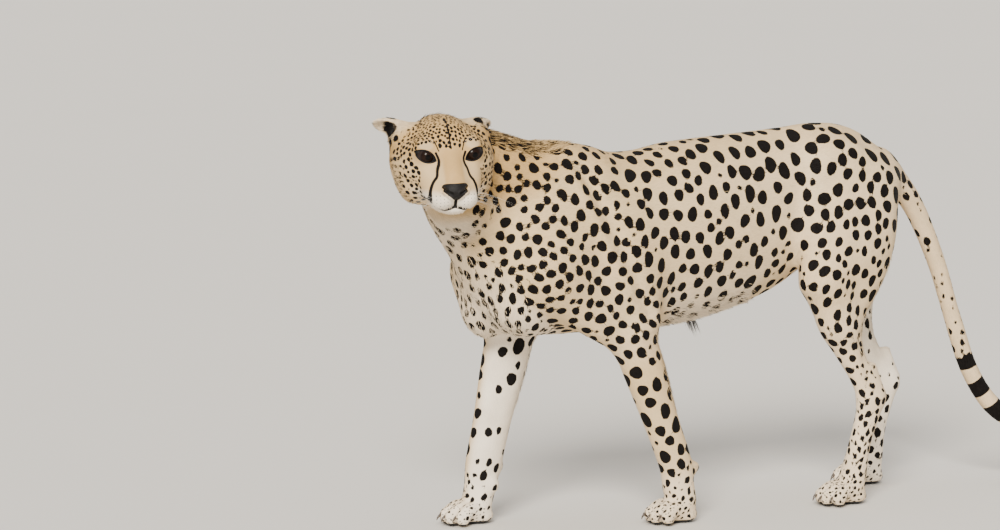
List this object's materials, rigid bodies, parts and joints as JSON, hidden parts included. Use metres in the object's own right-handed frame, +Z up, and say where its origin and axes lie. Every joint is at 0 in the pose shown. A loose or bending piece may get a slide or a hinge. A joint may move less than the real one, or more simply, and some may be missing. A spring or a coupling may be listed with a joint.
{
  "type": "cheetah",
  "caption": "Life-size standing cheetah in mid walk, paws flat on the floor, back level, tail hanging, head held level with the back and turned to its left.",
  "frame": {"origin": "on the floor, below the middle of the bounding box", "axes": "-X is the way the animal walks, -Y is its left side, towards which the head is turned, and +Z is up"},
  "size_m": [1.5016, 0.3358, 0.7671],
  "materials": {
    "spotted_coat": "short cream and tawny fur with solid black spots",
    "amber_eye": "wet dark amber eye"
  },
  "bodies": {
    "root": {"trunk": "spotted_coat", "neck": "spotted_coat", "head": "spotted_coat", "ear_left": "spotted_coat", "ear_right": "spotted_coat", "eye_left": "amber_eye", "eye_right": "amber_eye", "foreleg_left": "spotted_coat", "foreleg_right": "spotted_coat", "forepaw_left": "spotted_coat", "forepaw_right": "spotted_coat", "thigh_left": "spotted_coat", "thigh_right": "spotted_coat", "hindleg_left": "spotted_coat", "hindleg_right": "spotted_coat", "hindpaw_left": "spotted_coat", "hindpaw_right": "spotted_coat", "tail": "spotted_coat", "tail_end": "spotted_coat"}
  },
  "joints": []
}
